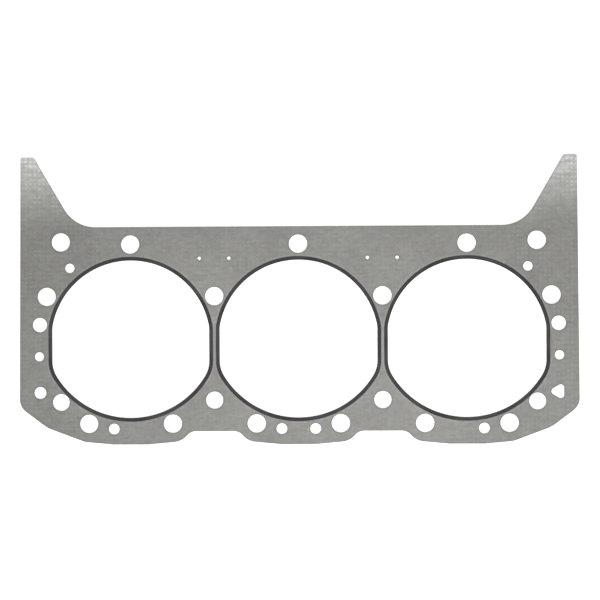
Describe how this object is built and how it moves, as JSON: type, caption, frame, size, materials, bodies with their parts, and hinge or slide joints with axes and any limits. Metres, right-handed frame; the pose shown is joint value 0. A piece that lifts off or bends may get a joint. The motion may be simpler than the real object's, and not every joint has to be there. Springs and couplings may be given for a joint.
{
  "type": "cylinder head gasket",
  "caption": "Flat layered head gasket for one bank of a V6 engine: graphite facings on a steel core, with folded steel fire rings at the cylinder openings and two horns.",
  "frame": {"origin": "centre of the middle cylinder opening, in the plane of the face that meets the block", "axes": "+X along the row of cylinders, +Y towards the two horns, +Z from the block face up to the head face"},
  "size_m": [0.3718, 0.1914, 0.0015],
  "materials": {
    "graphite": "matt grey graphite sheet with a faint staggered grid of dots from the core below",
    "core_steel": "thin tinned steel sheet, seen only at the cut edges",
    "fire_ring_steel": "folded stainless strip, dark and satin"
  },
  "bodies": {
    "root": {"steel_core": "core_steel", "lower_facing": "graphite", "upper_facing": "graphite", "fire_ring_left": "fire_ring_steel", "fire_ring_centre": "fire_ring_steel", "fire_ring_right": "fire_ring_steel"}
  },
  "joints": []
}
